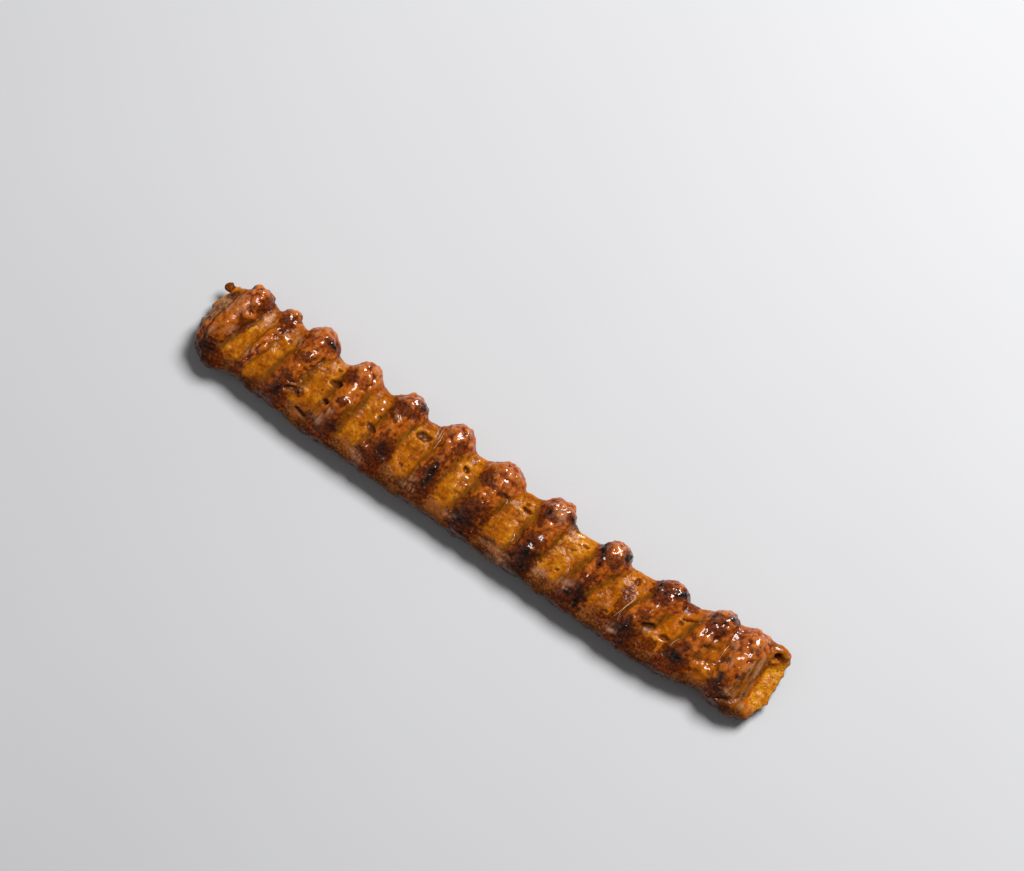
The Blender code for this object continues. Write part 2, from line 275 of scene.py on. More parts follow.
# Wet beads of fat that catch the light.
GLEAMS = (
    Spot(-110.2, 15.5, 1.7, 1.5),
    Spot(-109.3, 10.2, 1.3, 1.1),
    Spot(-107.0, 16.1, 0.8, 0.8),
    Spot(-108.2, -10.1, 1.0, 0.5),
    Spot(-95.8, 15.9, 0.9, 0.8),
    Spot(-93.4, 5.9, 1.7, 0.9, 10),
    Spot(-99.2, 2.0, 0.6, 1.2, -10),
    Spot(-99.8, -2.6, 0.7, 0.5),
    Spot(-85.6, 12.8, 0.8, 1.0),
    Spot(-83.4, 12.0, 1.1, 0.9),
    Spot(-82.3, 14.2, 0.7, 1.2, -20),
    Spot(-82.5, 5.2, 1.0, 1.4),
    Spot(-80.0, 4.2, 1.5, 0.8, 40),
    Spot(-81.2, 1.7, 0.8, 0.6),
    Spot(-71.4, 10.8, 1.5, 0.6, 20),
    Spot(-72.4, 0.9, 1.2, 0.6),
    Spot(-65.9, 11.7, 0.8, 1.7),
    Spot(-60.6, 14.0, 1.5, 0.8, 20),
    Spot(-60.0, 10.5, 0.8, 1.2, 30),
    Spot(-61.8, 8.9, 1.5, 0.7),
    Spot(-60.9, -0.4, 0.9, 0.9),
    Spot(-61.8, -2.9, 0.6, 0.6),
    Spot(-52.0, 7.3, 0.8, 0.6),
    Spot(-50.6, 4.6, 0.8, 0.6),
    Spot(-50.7, 0.5, 0.6, 0.6),
    Spot(-51.0, -6.3, 1.0, 0.8),
    Spot(-43.0, 12.4, 2.6, 0.8),
    Spot(-41.8, 13.9, 0.7, 1.2),
    Spot(-47.0, -9.6, 0.8, 1.2),
    Spot(-31.2, 10.1, 2.0, 0.7),
    Spot(-30.0, 8.0, 1.8, 0.6, -30),
    Spot(-31.8, 2.2, 1.4, 0.5),
    Spot(-30.4, 0.4, 0.5, 1.5),
    Spot(-30.2, -2.8, 1.0, 0.6),
    Spot(-33.6, -0.3, 1.1, 0.5, 20),
    Spot(-24.7, 13.9, 1.2, 0.6),
    Spot(-21.5, 10.6, 1.0, 1.1),
    Spot(-17.9, 11.7, 0.6, 1.1),
    Spot(-11.2, 9.9, 1.5, 0.6, -10),
    Spot(-14.0, 2.8, 0.7, 0.7),
    Spot(-11.0, 1.3, 1.5, 0.5, -15),
    Spot(-12.0, -3.8, 2.8, 1.4, 35),
    Spot(-10.3, -1.4, 1.3, 1.0, 20),
    Spot(0.4, 1.1, 1.4, 0.7, -30),
    Spot(2.1, -0.4, 0.7, 0.9),
    Spot(13.0, 2.8, 0.7, 0.6),
    Spot(13.9, 0.0, 0.9, 0.6),
    Spot(10.4, -11.9, 2.6, 0.6, 5),
    Spot(24.9, 8.4, 1.8, 2.3, 30),
    Spot(25.6, 6.2, 1.2, 0.8),
    Spot(24.2, 12.4, 1.6, 0.9),
    Spot(26.2, 3.7, 1.2, 0.7, 10),
    Spot(27.6, 11.9, 1.0, 1.2),
    Spot(37.2, 8.6, 3.0, 0.8, 25),
    Spot(38.0, 4.9, 1.4, 0.4),
    Spot(51.5, 12.7, 1.0, 0.6),
    Spot(50.2, 10.6, 0.8, 0.8),
    Spot(52.0, 9.4, 2.0, 0.8, 10),
    Spot(46.8, 7.8, 0.8, 1.7, 30),
    Spot(49.3, 3.0, 0.9, 0.5),
    Spot(63.2, 5.2, 0.7, 0.6),
    Spot(70.9, 7.4, 0.6, 0.7),
    Spot(73.1, 7.6, 0.7, 0.8),
    Spot(74.5, 5.8, 1.4, 0.6, -20),
    Spot(73.7, 2.8, 1.0, 0.7, 10),
    Spot(84.9, 2.8, 1.4, 0.6),
    Spot(81.0, -8.0, 1.3, 0.6, 25),
    Spot(77.2, -9.2, 1.1, 0.4, 15),
    Spot(93.5, -1.3, 1.2, 1.4),
    Spot(93.6, 2.7, 1.1, 0.7),
    Spot(99.2, 5.1, 1.0, 0.5, 45),
    Spot(100.8, -3.1, 0.7, 1.0),
    Spot(101.2, -7.0, 1.8, 0.5, 5),
    Spot(109.6, 12.2, 2.2, 1.2),
    Spot(110.8, 9.6, 1.0, 1.4, -20),
    Spot(107.8, 7.1, 1.1, 0.7),
    Spot(110.2, -0.4, 1.7, 0.5, 5),
    Spot(117.5, 14.1, 0.8, 0.6),
)

# Folds and seams: the points that a crease runs through, its half width and its depth.
Crease = namedtuple("Crease", "points half_width depth")
CREASES = (
    Crease(((-104.6, 17.5), (-105.3, 9.8), (-108.6, 1.5), (-111.6, -5.2), (-113.0, -9.0)), 0.8, 0.8),
    Crease(((-115.4, 15.5), (-118.4, 8.6), (-120.0, 1.5), (-121.0, -5.2), (-119.8, -10.6)), 0.6, 1.0),
    Crease(((-96.0, 9.5), (-99.8, 1.0), (-101.8, -7.5)), 0.5, 0.5),
    Crease(((-121.2, -9.4), (-117.0, -9.8), (-112.4, -9.4)), 0.4, 0.5),
    Crease(((-78.2, 7.2), (-82.0, -5.6), (-84.4, -6.4)), 0.6, 0.7),
    Crease(((-5.4, 4.0), (0.6, 2.8), (5.8, 3.2)), 0.9, 0.6),
    Crease(((30.6, 7.4), (29.4, -1.0), (28.2, -9.0)), 0.8, 0.5),
    Crease(((118.4, -3.4), (117.4, -7.6), (113.7, -11.3), (109.6, -12.6)), 0.8, 0.7),
    Crease(((103.8, 12.0), (103.0, 2.0), (102.4, -8.0)), 1.0, 0.6),
)

# Pale threads of sinew that lie over the valleys.
Thread = namedtuple("Thread", "points radius")
SINEWS = (
    Thread(((65.0, 0.2), (64.0, -3.6), (63.2, -6.4), (62.0, -10.2)), 0.16),
    Thread(((64.7, -0.9), (64.6, -2.6), (63.6, -5.2), (63.3, -8.2), (63.9, -10.7)), 0.12),
    Thread(((15.2, -5.4), (16.1, -7.2), (15.9, -9.2)), 0.2),
    Thread(((-29.4, 10.6), (-28.9, 9.0), (-28.7, 6.6)), 0.14),
    Thread(((-28.0, 11.0), (-27.6, 9.2), (-27.4, 6.6)), 0.12),
    Thread(((-26.9, 10.6), (-26.5, 7.2), (-26.6, 3.0)), 0.12),
    Thread(((102.5, 7.8), (102.2, 3.0), (102.1, -1.7)), 0.11),
    Thread(((-100.6, 9.6), (-101.4, 7.6), (-102.6, 6.0)), 0.14),
    Thread(((37.8, -3.0), (38.8, -5.0), (38.4, -7.4)), 0.11),
    Thread(((86.4, -3.4), (85.2, -5.6), (84.8, -7.6)), 0.13),
)

SURFACE_LOW = 10.0  # marks on the upper side fade out below this height
LIP_X = 117.8  # the edge of the roof over the skewer's bed
BED_HEIGHT = 6.6  # the bed of the skewer lies lower than this
LUMPY_VALLEY = Spot(99.5, 1.0, 8.5, 13.0)  # the last valley, which is knobbly all over
HALO = 2.4  # the roasted rim of a burnt spot is so many times as wide as the spot
BEAD_RISE = 0.3  # height of a bead of fat over its narrower half size
TUCK = 1.3  # how far the lower edge of the loaf is drawn in
EVENING_ROUNDS = 3  # rounds of smoothing that take the facets off the loaf
HOLLOW_ROUNDS = 8  # rounds of smoothing that a hollow's depth is measured from
OVERHEAD = 50.0  # a height well clear of the meat

# Each light: name, where it shines from (right, ahead, above), distance, width and the setting of its power.
LIGHTS = (
    ("key_light", (0.46, 0.4, 0.85), 1.5, 0.6, "key_power"),
    ("fill_light", (-0.8, 0.1, 0.8), 1.0, 0.7, "fill_power"),
)
SKY_COLOUR = (0.97, 0.985, 1.0, 1.0)


def in_mm(length):
    """Turn a length in metres into millimetres."""
    return length / MM


def new_object(name, mesh):
    """Return a new object at the origin that shows a mesh."""
    thing = bpy.data.objects.new(name, mesh)
    bpy.context.scene.collection.objects.link(thing)
    return thing


def finished_mesh(bm, name):
    """Return a bmesh as a mesh and free it."""
    mesh = bpy.data.meshes.new(name)
    bm.to_mesh(mesh)
    bm.free()
    return mesh


def add_to_frame(thing, material):
    """Give a piece its material and its place on the frame."""
    thing.data.materials.clear()
    thing.data.materials.append(material)
    thing.data.shade_smooth()
    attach(thing, BODY)


# ---------------------------------------------------------------- surface


def read_points(mesh):
    """Return a mesh's vertices in millimetres."""
    flat = np.empty(len(mesh.vertices) * 3)
    mesh.vertices.foreach_get("co", flat)
    return in_mm(flat.reshape(-1, 3))


def read_normals(mesh):
    """Return the normals of a mesh's vertices."""
    flat = np.empty(len(mesh.vertices) * 3, dtype=np.float32)
    mesh.vertex_normals.foreach_get("vector", flat)
    return flat.reshape(-1, 3).astype(float)


def write_points(mesh, points):
    """Move a mesh's vertices to points in millimetres."""
    mesh.vertices.foreach_set("co", (points * MM).ravel())
    mesh.update()


def read_edges(mesh):
    """Return a mesh's edges as pairs of vertex numbers."""
    flat = np.empty(len(mesh.edges) * 2, dtype=np.int32)
    mesh.edges.foreach_get("vertices", flat)
    return flat.reshape(-1, 2)


def relaxed(values, edges, rounds):
    """Return the values of the vertices after each has gone to its neighbours' mean, so many times."""
    first, second = edges.T
    count = len(values)
    neighbours = np.bincount(first, minlength=count) + np.bincount(second, minlength=count)
    result = values.copy()
    for _ in range(rounds):
        for axis in range(values.shape[1]):
            column = result[:, axis]
            total = np.bincount(first, column[second], count) + np.bincount(second, column[first], count)
            result[:, axis] = total / neighbours
    return result


def waves(points, size, shift=0.0):
    """Return smooth noise from about -1 to 1 at points, with waves of the given size in millimetres."""
    places = (points / size + shift).tolist()
    return np.array([noise.noise(place) for place in places])


def domes(points, size, shift=0.0):
    """Return the height, from 0 to 1, of soft domes of the given size packed against each other."""
    places = (points / size + shift).tolist()
    away = np.array([noise.voronoi(place)[0] for place in places])
    nearest = -np.log(np.exp(-12.0 * away**2).sum(axis=1)) / 12.0
    return np.clip(1.1 - 2.2 * nearest, 0.0, 1.0)


def soft_step(value, low, high):
    """Return 0 below low, 1 above high and a smooth rise between them."""
    share = np.clip((value - low) / (high - low), 0.0, 1.0)
    return share * share * (3.0 - 2.0 * share)


def spot_mask(points, spot, softness, ragged=0.0):
    """Return how much of a spot covers each point, seen from above; ragged is added to its radius there."""
    turn = math.radians(spot.turn)
    east = points[:, 0] - spot.x
    north = points[:, 1] - spot.y
    along = (east * math.cos(turn) + north * math.sin(turn)) / spot.along
    across = (north * math.cos(turn) - east * math.sin(turn)) / spot.across
    return 1.0 - soft_step(np.hypot(along, across) + ragged, 1.0 - softness, 1.0 + softness)


def cover(points, spots, softness, ragged=0.0):
    """Return how much any of the spots covers each point."""
    total = np.zeros(len(points))
    for spot in spots:
        total = np.maximum(total, spot_mask(points, spot, softness, ragged))
    return total


def crease_depth(points, crease, wander):
    """Return how deep a crease cuts the surface at each point, seen from above."""
    nearest = np.full(len(points), 1e6)
    for start, end in zip(crease.points, crease.points[1:]):
        run = np.array(end) - np.array(start)
        offset = points[:, :2] - np.array(start)
        share = np.clip(offset @ run / (run @ run), 0.0, 1.0)
        across = offset - share[:, None] * run
        nearest = np.minimum(nearest, np.hypot(across[:, 0] + wander, across[:, 1]))
    return crease.depth * np.exp(-((nearest / crease.half_width) ** 2))


def ridge_distance(points, wander):
    """Return how far each point is from the nearest ridge line, in half widths of its ridge."""
    nearest = np.full(len(points), 9.0)
    for ridge in RIDGES:
        share = (points[:, 1] - FOOT_Y) / (ridge.knob_y - FOOT_Y)
        crest_x = ridge.foot_x + share * (ridge.knob_x - ridge.foot_x)
        nearest = np.minimum(nearest, np.abs(points[:, 0] - crest_x + wander) / ridge.half_width)
    return nearest


def knob_mask(points):
    """Return 1 on the knobs and 0 elsewhere."""
    total = np.zeros(len(points))
    for ridge in RIDGES:
        knob = np.array((ridge.knob_x, ridge.knob_y, KNOB_HEIGHT))
        away = np.linalg.norm(points - knob, axis=1) - ridge.knob_radius
        total = np.maximum(total, 1.0 - soft_step(away, 0.2, 1.6))
    return total


def store_mask(mesh, name, values):
    """Keep a mask on a mesh's vertices, for its material to read."""
    layer = mesh.attributes.new(name, "FLOAT", "POINT")
    layer.data.foreach_set("value", np.clip(values, 0.0, 1.0).astype(np.float32))


def fine_copy_of_loaf(voxel):
    """Return a fine, even, smooth mesh of the frame's loaf."""
    bm = bmesh.new()
    bm.from_mesh(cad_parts[LOAF_NODE].data)
    bmesh.ops.remove_doubles(bm, verts=bm.verts, dist=1e-6)
    loaf = new_object("loaf_copy", finished_mesh(bm, "loaf_copy"))
    rounding = loaf.modifiers.new("rounding", "SUBSURF")
    rounding.levels = 2
    rounding.render_levels = 2
    evening = loaf.modifiers.new("evening", "REMESH")
    evening.mode = "VOXEL"
    evening.voxel_size = voxel
    evening.use_smooth_shade = True
    graph = bpy.context.evaluated_depsgraph_get()
    fine = bpy.data.meshes.new_from_object(loaf.evaluated_get(graph))
    bpy.data.objects.remove(loaf)
    fine.name = "kofta_meat"
    return fine


# -------------------------------------------------------------- materials


def add_node(tree, kind, **settings):
    """Add a node and set its own settings."""
    node = tree.nodes.new(kind)
    for name, value in settings.items():
        setattr(node, name, value)
    return node


def set_inputs(node, **values):
    """Set a node's unlinked sockets; an underscore in a name stands for a space."""
    for name, value in values.items():
        node.inputs[name.replace("_", " ")].default_value = value
    return node


def noise_node(tree, coordinates, scale, detail=4.0, roughness=0.55):
    """Add a noise texture and return its factor."""
    node = add_node(tree, "ShaderNodeTexNoise")
    set_inputs(node, Scale=scale, Detail=detail, Roughness=roughness)
    tree.links.new(coordinates, node.inputs["Vector"])
    return node.outputs["Fac"]


def ramp(tree, factor, stops):
    """Add a colour ramp through stops of (position, colour) and return its colour."""
    node = add_node(tree, "ShaderNodeValToRGB")
    elements = node.color_ramp.elements
    while len(elements) < len(stops):
        elements.new(0.5)
    for element, (position, colour) in zip(elements, stops):
        element.position = position
        element.color = (*colour, 1.0)
    tree.links.new(factor, node.inputs["Fac"])
    return node.outputs["Color"]


def grey(level):
    """Return a grey colour."""
    return (level, level, level)


def mask_ramp(tree, factor, low, high):
    """Add a ramp from 0 at low to 1 at high, which may be the smaller one."""
    stops = ((low, grey(0.0)), (high, grey(1.0)))
    return ramp(tree, factor, sorted(stops))


def calculate(tree, operation, first, second, clamp=False):
    """Add a math node on sockets or numbers and return its value."""
    node = add_node(tree, "ShaderNodeMath", operation=operation, use_clamp=clamp)
    for socket, value in zip(node.inputs, (first, second)):
        if isinstance(value, (int, float)):
            socket.default_value = value
        else:
            tree.links.new(value, socket)
    return node.outputs["Value"]


def mix_colours(tree, factor, first, second):
    """Add a colour mix on sockets or colours and return its colour."""
    node = add_node(tree, "ShaderNodeMix", data_type="RGBA")
    first_socket, second_socket = [socket for socket in node.inputs if socket.type == "RGBA"]
    for socket, value in zip((node.inputs["Factor"], first_socket, second_socket), (factor, first, second)):
        if isinstance(value, tuple):
            socket.default_value = (*value, 1.0)
        else:
            tree.links.new(value, socket)
    return [socket for socket in node.outputs if socket.type == "RGBA"][0]


def lay_over(tree, below, above, part, strength=1.0):
    """Return a colour laid over another as far as a mask and a strength say."""
    if strength < 1.0:
        part = calculate(tree, "MULTIPLY", part, strength)
    return mix_colours(tree, part, below, above)


def attribute(tree, name):
    """Add an attribute node for a mask and return its value."""
    node = add_node(tree, "ShaderNodeAttribute", attribute_type="GEOMETRY", attribute_name=name)
    return node.outputs["Fac"]


def new_material(name, **constants):
    """Return a new material, its tree and its Principled shader with constants set on the sockets."""
    material = bpy.data.materials.new(name)
    material.use_nodes = True
    tree = material.node_tree
    shader = tree.nodes["Principled BSDF"]
    set_inputs(shader, **constants)
    return material, tree, shader


def new_group(name, inputs, outputs):
    """Return an empty node group, its group input and its group output."""
    tree = bpy.data.node_groups.new(name, "ShaderNodeTree")
    for label, kind, value in inputs:
        socket = tree.interface.new_socket(name=label, in_out="INPUT", socket_type=kind)
        if value is not None:
            socket.default_value = value
    for label, kind in outputs:
        tree.interface.new_socket(name=label, in_out="OUTPUT", socket_type=kind)
    return tree, add_node(tree, "NodeGroupInput"), add_node(tree, "NodeGroupOutput")


def make_crumb_group():
    """Build the minced crumb: the height of small rounded grains and fibres."""
    tree, start, end = new_group(
        "minced_crumb",
        (("Vector", "NodeSocketVector", None), ("Grain Scale", "NodeSocketFloat", 900.0)),
        (("Height", "NodeSocketFloat"),),
    )
    fibres = add_node(tree, "ShaderNodeTexNoise")
    set_inputs(fibres, Detail=2.0, Roughness=0.5)
    grains = add_node(tree, "ShaderNodeTexVoronoi", feature="SMOOTH_F1")
    set_inputs(grains, Smoothness=0.4)
    for texture in (fibres, grains):
        tree.links.new(start.outputs["Vector"], texture.inputs["Vector"])
        tree.links.new(start.outputs["Grain Scale"], texture.inputs["Scale"])
    rounded = calculate(tree, "SUBTRACT", 1.0, grains.outputs["Distance"])
    height = calculate(tree, "ADD", calculate(tree, "MULTIPLY", rounded, 0.6), fibres.outputs["Fac"])
    tree.links.new(height, end.inputs["Height"])
    return tree


def make_oil_group():
    """Build the film of oil: wet places are glossy and the rest is dull."""
    tree, start, end = new_group(
        "oil_film",
        (
            ("Vector", "NodeSocketVector", None),
            ("Wet", "NodeSocketFloat", 0.0),
            ("Dry Roughness", "NodeSocketFloat", 0.5),
            ("Wet Roughness", "NodeSocketFloat", 0.2),
        ),
        (("Roughness", "NodeSocketFloat"), ("Film", "NodeSocketFloat")),
    )
    patches = mask_ramp(tree, noise_node(tree, start.outputs["Vector"], 520.0, 4.0), 0.5, 0.62)
    strewn = calculate(tree, "MULTIPLY", patches, 0.1)
    film = calculate(tree, "ADD", start.outputs["Wet"], strewn, clamp=True)
    blend = add_node(tree, "ShaderNodeMix", data_type="FLOAT")
    tree.links.new(film, blend.inputs["Factor"])
    tree.links.new(start.outputs["Dry Roughness"], blend.inputs["A"])
    tree.links.new(start.outputs["Wet Roughness"], blend.inputs["B"])
    tree.links.new(blend.outputs["Result"], end.inputs["Roughness"])
    tree.links.new(film, end.inputs["Film"])
    return tree


def place_group(tree, group_tree, coordinates, **values):
    """Place a node group in a material."""
    node = add_node(tree, "ShaderNodeGroup")
    node.node_tree = group_tree
    tree.links.new(coordinates, node.inputs["Vector"])
    set_inputs(node, **values)
    return node


def object_coordinates(tree):
    """Return the piece's own coordinates."""
    return add_node(tree, "ShaderNodeTexCoord").outputs["Object"]


def add_bump(tree, shader, height, distance, strength=1.0):
    """Bump a shader's normal by a height."""
    bump = add_node(tree, "ShaderNodeBump")
    set_inputs(bump, Strength=strength, Distance=distance)
    tree.links.new(height, bump.inputs["Height"])
    tree.links.new(bump.outputs["Normal"], shader.inputs["Normal"])


def weighted_sum(tree, *parts):
    """Add up sockets, each given with its weight."""
    total = 0.0
    for socket, weight in parts:
        total = calculate(tree, "ADD", calculate(tree, "MULTIPLY", socket, weight), total)
    return total


def colours(look, *stops):
    """Return ramp stops from pairs of a position and the name of a colour."""
    return [(position, tuple(getattr(look, name))) for position, name in stops]


# The noises that the meat's colours are made from, and how far each place stands out, which paints light on
# raised grains and shade in dips.
Tones = namedtuple("Tones", "broad blotch fine streaks crest")


def make_tones(tree, place):
    """Add the noises that the colours of the meat share."""
    drawn_out = add_node(tree, "ShaderNodeMapping")
    set_inputs(drawn_out, Scale=(1.0, 0.14, 0.14))
    tree.links.new(place, drawn_out.inputs["Vector"])
    streaks = noise_node(tree, drawn_out.outputs["Vector"], 1100.0, 3.0)
    return Tones(
        broad=noise_node(tree, place, 130.0, 3.0),
        blotch=noise_node(tree, place, 430.0, 5.0, 0.62),
        fine=noise_node(tree, place, 1250.0, 3.0, 0.6),
        streaks=mask_ramp(tree, streaks, 0.35, 0.65),
        crest=attribute(tree, "crest"),
    )


def amber_hollows(tree, look, place, tones):
    """Return the colour of the hollows between ridges: amber and honey with spiced fat."""
    east = attribute(tree, "east")
    tone = weighted_sum(
        tree,
        (tones.broad, 0.4),
        (tones.blotch, 0.45),
        (tones.fine, 0.15),
        # raised grains painted lighter and dips darker
        (tones.crest, 0.22),
        (east, -0.045),
    )
    stops = ((0.5, "amber_dark"), (0.58, "amber"), (0.66, "amber_light"), (0.76, "honey"))
    colour = ramp(tree, tone, colours(look, *stops))
    spice_tone = weighted_sum(tree, (noise_node(tree, place, 560.0, 4.0, 0.6), 1.0), (east, 0.12))
    spice_part = mask_ramp(tree, spice_tone, 0.52, 0.64)
    return lay_over(tree, colour, tuple(look.orange), spice_part, 0.75)


def brown_ridges(tree, look, tones, colour):
    """Return a colour with the streaky sides of the ridges, partly browning and partly painted shade, then
    the ridges and knobs, laid over it.
    """
    wall = mix_colours(tree, tones.streaks, tuple(look.wall_dark), tuple(look.wall))
    edge = weighted_sum(tree, (attribute(tree, "near"), 1.0), (tones.broad, 0.8))
    # the steep sides and the strip beside each ridge are painted darker: partly browning, partly painted
    # shade
    shaded_sides = calculate(tree, "MAXIMUM", attribute(tree, "wall"), mask_ramp(tree, edge, 0.55, 1.3))
    colour = lay_over(tree, colour, wall, shaded_sides, 0.85)

    tone = weighted_sum(
        tree,
        (tones.broad, 0.35),
        (tones.blotch, 0.4),
        (tones.fine, 0.25),
        # raised grains painted lighter and dips darker
        (tones.crest, 0.2),
    )
    ridge_stops = ((0.5, "brown_dark"), (0.6, "brown"), (0.72, "brown_light"))
    ridge = ramp(tree, tone, colours(look, *ridge_stops))
    knob_stops = ((0.5, "knob_dark"), (0.6, "knob"), (0.74, "knob_light"))
    knob = ramp(tree, tone, colours(look, *knob_stops))
    brown = mix_colours(tree, attribute(tree, "knob"), ridge, knob)
    browning = weighted_sum(tree, (attribute(tree, "browning"), 1.0), (tones.blotch, 1.0))
    return lay_over(tree, colour, brown, mask_ramp(tree, browning, 0.6, 1.2))


def low_side_shade_and_roast(tree, look, tones, colour):
    """Return a colour with the dull low side, partly the meat's own fibres and partly painted shade, then the
    well-browned patches, laid over it.
    """
    dull_tone = weighted_sum(tree, (tones.broad, 0.5), (tones.fine, 0.5))
    fibres = mask_ramp(tree, dull_tone, 0.44, 0.56)
    dull = mix_colours(tree, fibres, tuple(look.dull_dark), tuple(look.dull))
    # the low south side is painted darker: partly its own dull fibres, partly painted shade
    low = weighted_sum(tree, (attribute(tree, "south"), 1.0), (tones.blotch, 0.9))
    colour = lay_over(tree, colour, dull, mask_ramp(tree, low, 0.7, 1.35))

    grains = mask_ramp(tree, tones.fine, 0.4, 0.62)
    roast = mix_colours(tree, grains, tuple(look.roast_dark), tuple(look.roast))
    patches = weighted_sum(tree, (attribute(tree, "roast"), 1.0), (tones.blotch, 1.2))
    return lay_over(tree, colour, roast, mask_ramp(tree, patches, 0.78, 1.6), 0.85)


def pale_and_bed(tree, look, tones, colour):
    """Return a colour with the pale shreds and one painted highlight, then the bed of the skewer, laid over
    it.
    """
    fibres = weighted_sum(tree, (tones.blotch, 0.55), (tones.streaks, 0.2))
    # pale shreds, and one patch that is a painted highlight
    pale_part = calculate(tree, "MULTIPLY", attribute(tree, "pale"), mask_ramp(tree, fibres, 0.3, 0.5))
    colour = lay_over(tree, colour, tuple(look.pale), pale_part, 0.75)

    bed_tone = weighted_sum(tree, (tones.blotch, 0.5), (tones.fine, 0.5))
    bed_stops = ((0.42, "bed_dark"), (0.5, "bed"), (0.6, "bed_light"))
    bed = ramp(tree, bed_tone, colours(look, *bed_stops))
    return lay_over(tree, colour, bed, attribute(tree, "bed"))


def spiced_and_burnt(tree, look, place, tones, colour):
    """Return a colour with the seared feet (real searing and painted shade), the spice, the painted shade in
    pits and dips, and the burnt spots laid over it.
    """
    # the seared feet: real searing and painted shade on the low side
    sear_tone = mask_ramp(tree, tones.blotch, 0.2, 0.45)
    seared_part = calculate(tree, "MULTIPLY", attribute(tree, "sear"), sear_tone)
    colour = lay_over(tree, colour, tuple(look.seared), seared_part)
    red_part = mask_ramp(tree, noise_node(tree, place, 1000.0, 2.0, 0.5), 0.62, 0.68)
    colour = lay_over(tree, colour, tuple(look.chilli), red_part, 0.35)
    dark_part = mask_ramp(tree, noise_node(tree, place, 760.0, 2.0, 0.5), 0.33, 0.26)
    colour = lay_over(tree, colour, tuple(look.pepper), dark_part, 0.75)
    # painted shade in the pits and in every dip, darker the deeper it lies
    colour = lay_over(tree, colour, tuple(look.hollow), attribute(tree, "hollow"), 0.7)
    return lay_over(tree, colour, tuple(look.char), attribute(tree, "char"))


def meat_material(groups, look):
    """Return the cooked meat: amber hollows, browned ridges, pale shreds, spice and char, with painted light
    and shade over them.
    """
    material, tree, shader = new_material(
        "cooked_meat",
        Coat_Roughness=0.1,
        Coat_IOR=1.55,
        Specular_IOR_Level=0.09,
        Subsurface_Weight=look.translucency,
        Subsurface_Radius=(1.0, 0.3, 0.08),
        Subsurface_Scale=0.0015,
    )
    place = object_coordinates(tree)
    tones = make_tones(tree, place)
    colour = amber_hollows(tree, look, place, tones)
    colour = brown_ridges(tree, look, tones, colour)
    colour = low_side_shade_and_roast(tree, look, tones, colour)
    colour = pale_and_bed(tree, look, tones, colour)
    colour = spiced_and_burnt(tree, look, place, tones, colour)
    tree.links.new(colour, shader.inputs["Base Color"])

    oil = place_group(tree, groups["oil"], place, Dry_Roughness=0.22, Wet_Roughness=0.15)
    tree.links.new(attribute(tree, "wet"), oil.inputs["Wet"])
    unburnt = calculate(tree, "SUBTRACT", 1.0, calculate(tree, "MULTIPLY", attribute(tree, "char"), 0.5))
    roughness = calculate(tree, "MULTIPLY", oil.outputs["Roughness"], unburnt)
    tree.links.new(roughness, shader.inputs["Roughness"])
    tree.links.new(calculate(tree, "MULTIPLY", oil.outputs["Film"], 0.9), shader.inputs["Coat Weight"])
    crumb = place_group(tree, groups["crumb"], place, Grain_Scale=850.0)
    add_bump(tree, shader, crumb.outputs["Height"], 0.00025, 0.8)
    return material


def fleck_material(name, groups, light, dark, roughness):
    """Return the finish of small bits: two colours, crumb and oil."""
    material, tree, shader = new_material(name, Coat_Roughness=0.08, Coat_Weight=0.6, IOR=1.45)
    place = object_coordinates(tree)
    crumb = place_group(tree, groups["crumb"], place, Grain_Scale=1600.0)
    oil = place_group(tree, groups["oil"], place, Dry_Roughness=roughness, Wet_Roughness=roughness * 0.5)
    colour = ramp(tree, noise_node(tree, place, 700.0), ((0.38, tuple(dark)), (0.62, tuple(light))))
    tree.links.new(colour, shader.inputs["Base Color"])
    tree.links.new(oil.outputs["Roughness"], shader.inputs["Roughness"])
    add_bump(tree, shader, crumb.outputs["Height"], 0.00015, 0.6)
    return material


def table_material(look):
    """Return the plain pale table."""
    material, tree, shader = new_material("pale_table", Roughness=0.55)
    place = object_coordinates(tree)
    colour = ramp(
        tree,
        noise_node(tree, place, 6.0, 2.0),
        ((0.3, tuple(c * 0.97 for c in look.table_colour)), (0.7, tuple(look.table_colour))),
    )
    tree.links.new(colour, shader.inputs["Base Color"])
    return material


# ------------------------------------------------------------- properties


def colour_property(name, description, default):
    """Return a colour property."""
    return bpy.props.FloatVectorProperty(
        name=name, description=description, default=default, subtype="COLOR", size=3, min=0.0, max=1.0
    )


